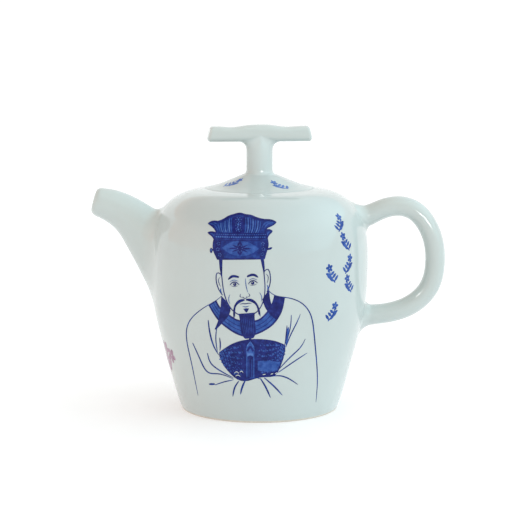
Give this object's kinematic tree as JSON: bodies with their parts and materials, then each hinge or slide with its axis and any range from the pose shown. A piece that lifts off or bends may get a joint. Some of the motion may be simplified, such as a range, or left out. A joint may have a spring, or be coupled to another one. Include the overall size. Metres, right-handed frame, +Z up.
{
  "type": "small porcelain teapot with drop-in lid",
  "caption": "High-shouldered porcelain teapot with a short spout, side loop handle and a drop-in lid with a bow-shaped bar knob; underglaze blue painting.",
  "frame": {"origin": "middle of the whole object's footprint, on the surface that the foot ring stands on", "axes": "+X towards the handle (the spout points along -X), +Y away from the painted front, +Z up"},
  "size_m": [0.1662, 0.102, 0.1338],
  "materials": {
    "porcelain": "gloss",
    "cobalt_blue": "gloss",
    "copper_purple": "gloss"
  },
  "bodies": {
    "pot": {"pot_body": "porcelain", "spout_strainer": "porcelain", "spout": "porcelain", "handle": "porcelain"},
    "lid": {"lid_shell": "porcelain", "lid_collar": "porcelain", "knob_stem": "porcelain", "knob_bow": "porcelain"}
  },
  "joints": [
    {"name": "lid_lift", "type": "slide", "parent": "pot", "child": "lid", "axis": [0, 0, 1], "range_m": [0, 0.04]}
  ]
}
